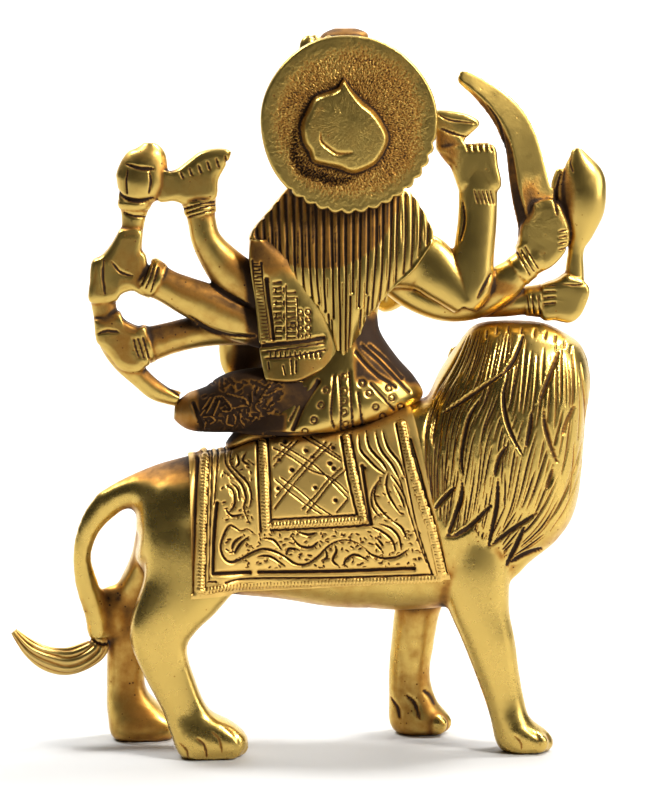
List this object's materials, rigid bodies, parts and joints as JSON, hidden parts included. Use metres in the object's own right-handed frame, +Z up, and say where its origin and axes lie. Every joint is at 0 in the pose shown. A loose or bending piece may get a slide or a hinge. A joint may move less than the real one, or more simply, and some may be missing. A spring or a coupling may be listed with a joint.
{
  "type": "cast durga figure",
  "caption": "Small cast brass statue of a many-armed goddess riding side-on on a standing lion, with a halo disc behind her head.",
  "frame": {"origin": "on the ground, under the middle of the casting's length and of its depth", "axes": "+X the way the lion walks, +Y the way the goddess faces, +Z up"},
  "size_m": [0.1308, 0.0388, 0.1584],
  "materials": {
    "brass": "polished, with dark patina in the recesses"
  },
  "bodies": {
    "root": {"durga_on_lion": "brass"}
  },
  "joints": []
}
